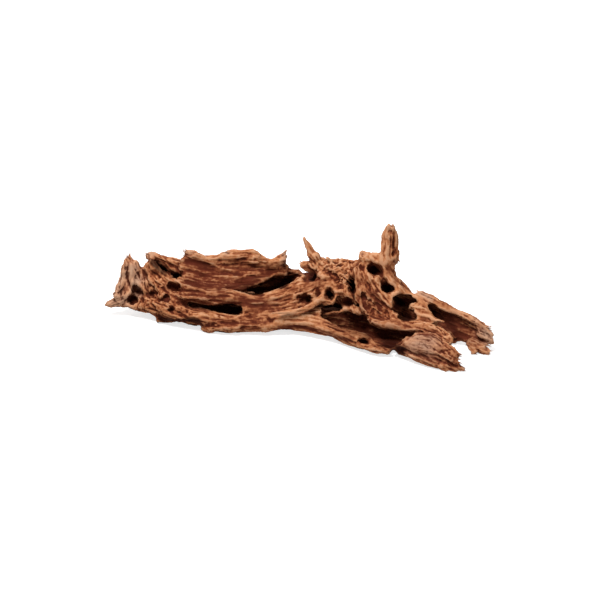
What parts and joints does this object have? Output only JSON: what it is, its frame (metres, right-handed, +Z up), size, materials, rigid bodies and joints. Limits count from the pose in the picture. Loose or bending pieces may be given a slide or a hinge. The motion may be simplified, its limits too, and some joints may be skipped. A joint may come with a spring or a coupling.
{
  "type": "piece of driftwood",
  "caption": "Hollow, weathered root lying on its side, with a leaning plank, a thin spike, a blunt horn, worm-eaten ribs and a broken open end.",
  "frame": {"origin": "on the table, under the middle of the bounding box", "axes": "+Z up, +X along the length towards the broken open end, -Y towards the side with the low pointed tip"},
  "size_m": [0.394, 0.1618, 0.1179],
  "materials": {
    "driftwood": "bare, weathered, matt"
  },
  "bodies": {
    "root": {"driftwood": "driftwood"}
  },
  "joints": []
}
